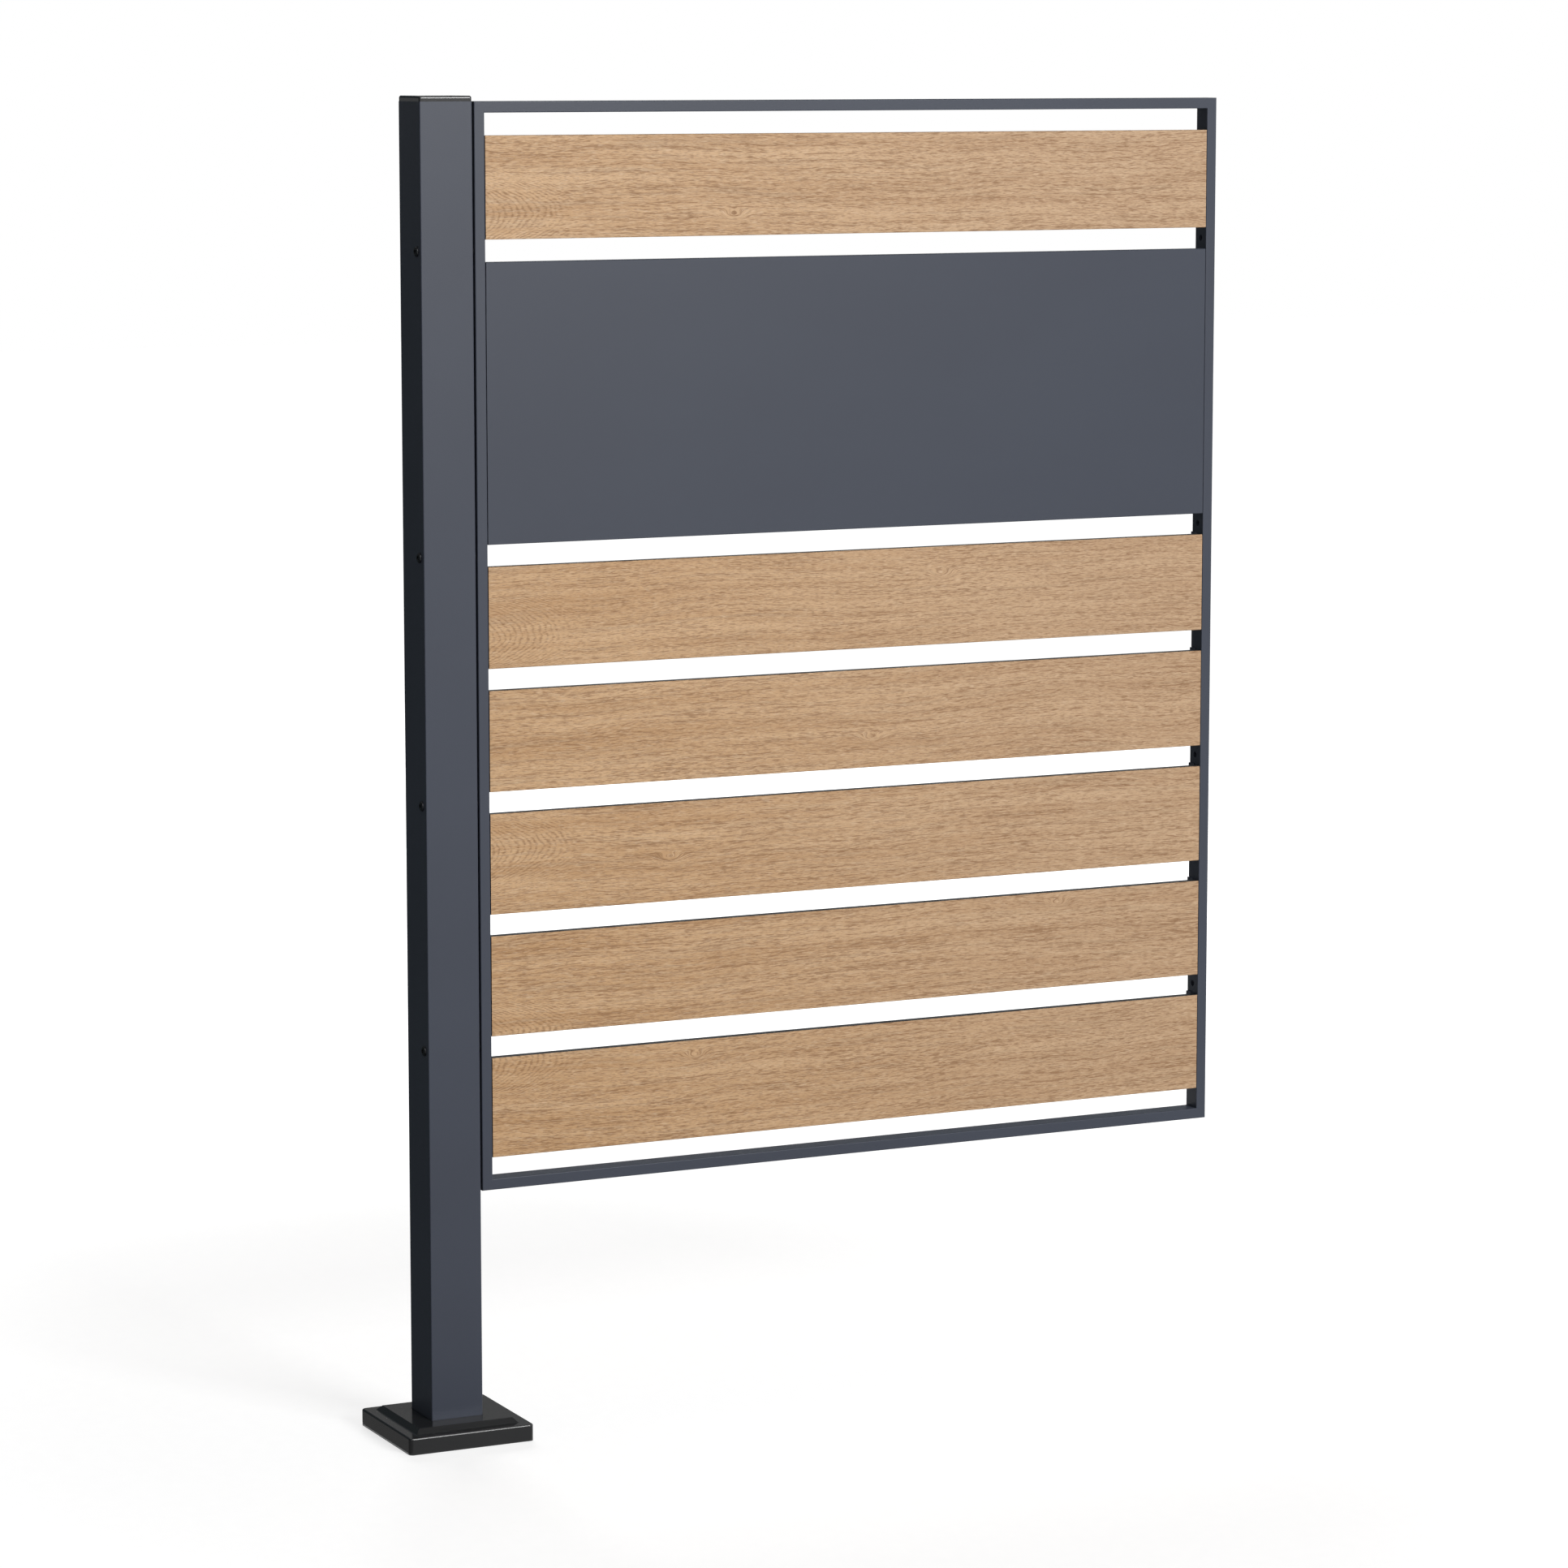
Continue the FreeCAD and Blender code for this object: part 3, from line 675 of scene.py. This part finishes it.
def seen_or_lighting(tree, lighting, seen):
    """One shader for the light that is given, another for rays that are seen, mirrored or in glass."""
    rays = tree.nodes.new("ShaderNodeLightPath").outputs
    share = rays["Is Camera Ray"]
    for other_ray in ("Is Glossy Ray", "Is Transmission Ray"):
        either = tree.nodes.new("ShaderNodeMath")
        either.operation = "MAXIMUM"
        tree.links.new(share, either.inputs[0])
        tree.links.new(rays[other_ray], either.inputs[1])
        share = either.outputs[0]
    choose = tree.nodes.new("ShaderNodeMixShader")
    for socket, value in zip(choose.inputs, (share, lighting, seen)):
        tree.links.new(value, socket)
    return choose.outputs[0]


def pale_floor():
    finish = Finish("pale_floor", FLOOR_COLOUR, roughness=1.0)
    x, y, _ = finish.axes()
    out = finish.point(finish.minus(x, studio_centre.x), finish.minus(y, studio_centre.y), 0.0)
    reach = finish.node("ShaderNodeVectorMath", operation="LENGTH")
    finish.feed(reach.inputs[0], out)
    matt = finish.node("ShaderNodeBsdfDiffuse")
    speckle = finish.ramp(finish.noise(FLOOR_SPECKLES_PER_METRE, detail=3.0), NOISE_SPREAD)
    finish.feed(matt.inputs["Color"], finish.mix(speckle, FLOOR_COLOUR, FLOOR_SPECKLE_COLOUR))
    glow = finish.node("ShaderNodeEmission")
    finish.feed(glow.inputs["Strength"], finish.ramp(reach.outputs["Value"], FLOOR_GLOW_RADIUS, FLOOR_GLOW))
    glowing = finish.node("ShaderNodeAddShader")
    finish.feed(glowing.inputs[0], matt.outputs[0])
    finish.feed(glowing.inputs[1], glow.outputs[0])
    surface = seen_or_lighting(finish.tree, matt.outputs[0], glowing.outputs[0])
    finish.feed(finish.tree.nodes["Material Output"].inputs["Surface"], surface)
    finish.tree.nodes.remove(finish.shader)
    return finish


def level(low_x, high_x, low_y, high_y, height):
    """The corners of a sheet that lies flat."""
    near = [(low_x, low_y, height), (high_x, low_y, height)]
    far = [(high_x, high_y, height), (low_x, high_y, height)]
    return near + far


def stage_sheet(name, corners, material):
    """Puts one flat sheet into the scene as part of the studio."""
    mesh = bpy.data.meshes.new(name)
    mesh.from_pydata(corners, [], [tuple(range(len(corners)))])
    mesh.materials.append(material)
    made = bpy.data.objects.new(name, mesh)
    bpy.context.scene.collection.objects.link(made)
    return made


half_floor = FLOOR_SIZE / 2
stage_sheet("floor", level(-half_floor, half_floor, -half_floor, half_floor, 0), pale_floor().material)


# Studio cards: sheets of board round, under and over the part, which only its gloss shows.
# Dull bluish flats and mats keep its left-hand and rear faces dark, and brighter cards and mats
# give the post cap, the foot cover and the edges their sheen.
FLAT_COLOUR = (0.73, 0.91, 1.0)
FLAT_STRENGTH = 0.09
FLAT_LEFT_X = -2.2
FLAT_SPLIT_X = 0.3
FLAT_RIGHT_X = 5.0
FLAT_FRONT_Y = -1.2
FLAT_BACK_Y = 2.6
FLAT_LEFT_TOP = 3.4
FLAT_BACK_TOP = 1.32
FLAT_UPPER_BOTTOM = 1.75
FLAT_UPPER_TOP = 5.0
MAT_HEIGHT = 0.0006
MAT_EDGE_X = -0.075
MAT_EDGE_Y = 0.08
CARD_COLOUR = (1.0, 1.0, 1.0)
CARD_STAND_OFF = 0.02
COVER_CARD_X = (0.4, 1.8)
COVER_CARD_Z = (0.58, 0.94)
CAP_CARD_X = (-1.7, -0.4)
CAP_CARD_Z = (1.41, 1.53)
COVER_MAT_LEFT_X = -0.16
COVER_MAT_Y = (-0.16, 0.14)
FRONT_MAT_RIGHT_X = 0.35
FRONT_MAT_Y = (-0.28, -0.0745)
OVERHEAD_X = (-2.0, 2.0)
OVERHEAD_FRONT_Y = -3.8
OVERHEAD_SPLIT_Y = -1.75
OVERHEAD_BACK_Y = 1.5
OVERHEAD_HEIGHT = 3.9


def mirror_card(name, corners, strength, colour=CARD_COLOUR):
    """A sheet that shows in gloss alone, as the cards that stand round a product in a studio."""
    material = bpy.data.materials.new(name)
    material.use_nodes = True
    tree = material.node_tree
    tree.nodes.remove(tree.nodes["Principled BSDF"])
    glow = tree.nodes.new("ShaderNodeEmission")
    glow.inputs["Color"].default_value = (*colour, 1.0)
    glow.inputs["Strength"].default_value = strength
    tree.links.new(glow.outputs[0], tree.nodes["Material Output"].inputs["Surface"])
    card = stage_sheet(name, corners, material)
    card.visible_camera = False
    card.visible_diffuse = False
    card.visible_shadow = False


def upright(start, end, bottom, top):
    """The corners of a sheet that stands on edge."""
    return [(*start, bottom), (*end, bottom), (*end, top), (*start, top)]


def card_behind(across, upwards):
    """The corners of a card that stands behind the part, just before the back flats."""
    start, end = ((x, FLAT_BACK_Y - CARD_STAND_OFF) for x in across)
    return upright(start, end, *upwards)


front_left = (FLAT_LEFT_X, FLAT_FRONT_Y)
back_left = (FLAT_LEFT_X, FLAT_BACK_Y)
back_split = (FLAT_SPLIT_X, FLAT_BACK_Y)
back_right = (FLAT_RIGHT_X, FLAT_BACK_Y)
flats = {
    "left_flat": upright(front_left, back_left, MAT_HEIGHT, FLAT_LEFT_TOP),
    "back_left_flat": upright(back_left, back_split, MAT_HEIGHT, FLAT_LEFT_TOP),
    "back_flat": upright(back_split, back_right, MAT_HEIGHT, FLAT_BACK_TOP),
    "upper_back_flat": upright(back_split, back_right, FLAT_UPPER_BOTTOM, FLAT_UPPER_TOP),
    "left_mat": level(FLAT_LEFT_X, MAT_EDGE_X, FLAT_FRONT_Y, FLAT_BACK_Y, MAT_HEIGHT),
    "back_mat": level(MAT_EDGE_X, FLAT_SPLIT_X, MAT_EDGE_Y, FLAT_BACK_Y, MAT_HEIGHT),
}
for name, corners in flats.items():
    mirror_card(name, corners, FLAT_STRENGTH, FLAT_COLOUR)

cover_mat = level(COVER_MAT_LEFT_X, MAT_EDGE_X, *COVER_MAT_Y, 2 * MAT_HEIGHT)
front_mat = level(MAT_EDGE_X, FRONT_MAT_RIGHT_X, *FRONT_MAT_Y, MAT_HEIGHT)
overhead_card = level(*OVERHEAD_X, OVERHEAD_FRONT_Y, OVERHEAD_SPLIT_Y, OVERHEAD_HEIGHT)
overhead_flat = level(*OVERHEAD_X, OVERHEAD_SPLIT_Y, OVERHEAD_BACK_Y, OVERHEAD_HEIGHT)
mirror_card("cover_mat", cover_mat, strength=0.19)
mirror_card("front_mat", front_mat, strength=0.42)
mirror_card("cover_card", card_behind(COVER_CARD_X, COVER_CARD_Z), strength=0.21)
mirror_card("cap_card", card_behind(CAP_CARD_X, CAP_CARD_Z), strength=0.38)
mirror_card("overhead_card", overhead_card, strength=9.0)
mirror_card("overhead_flat", overhead_flat, strength=0.12)


# Lamps and backdrop: a large soft lamp high in front at the right, and a weaker one behind the part.
# The backdrop is seen and mirrored as plain white, and lights the part only faintly.
AMBIENT_STRENGTH = 0.16
BACKDROP_STRENGTH = 1.0
WHITE = (1.0, 1.0, 1.0, 1.0)


def soft_lamp(name, place, width, height, power, mirrored=True):
    lamp = bpy.data.lights.new(name, "AREA")
    lamp.shape = "RECTANGLE"
    lamp.size = width
    lamp.size_y = height
    lamp.energy = power
    made = bpy.data.objects.new(name, lamp)
    made.location = place
    made.rotation_euler = (studio_centre - Vector(place)).to_track_quat("-Z", "Y").to_euler()
    made.visible_glossy = mirrored
    bpy.context.scene.collection.objects.link(made)


def backdrop_light(sky, strength):
    made = sky.nodes.new("ShaderNodeBackground")
    made.inputs["Color"].default_value = WHITE
    made.inputs["Strength"].default_value = strength
    return made.outputs[0]


soft_lamp("front_lamp", place=(2.1, -6.8, 3.0), width=3.0, height=1.8, power=415)
soft_lamp("rear_lamp", place=(1.6, 5.5, 2.6), width=3.0, height=2.0, power=220, mirrored=False)

world = bpy.data.worlds.new("white_studio")
bpy.context.scene.world = world
world.use_nodes = True
sky = world.node_tree
sky.nodes.remove(sky.nodes["Background"])
surroundings = seen_or_lighting(
    sky,
    lighting=backdrop_light(sky, AMBIENT_STRENGTH),
    seen=backdrop_light(sky, BACKDROP_STRENGTH),
)
sky.links.new(surroundings, sky.nodes["World Output"].inputs["Surface"])


# Camera: stands left of the post at about the height of its top and looks slightly down at the panel.
# A long lens from more than five metres away keeps the slats' lines close to parallel.
CAMERA_PLACE = (-2.112, -5.213, 1.510)
CAMERA_YAW = 25.83
CAMERA_PITCH = 8.01
CAMERA_LENS = 120.4
CAMERA_SENSOR_WIDTH = 36.0
camera_data = bpy.data.cameras.new("camera")
camera_data.sensor_width = CAMERA_SENSOR_WIDTH
camera_data.lens = CAMERA_LENS
camera = bpy.data.objects.new("camera", camera_data)
camera.location = CAMERA_PLACE
camera.rotation_euler = (math.radians(90 - CAMERA_PITCH), 0, math.radians(-CAMERA_YAW))
bpy.context.scene.collection.objects.link(camera)
bpy.context.scene.camera = camera
bpy.context.scene.view_settings.view_transform = "Standard"
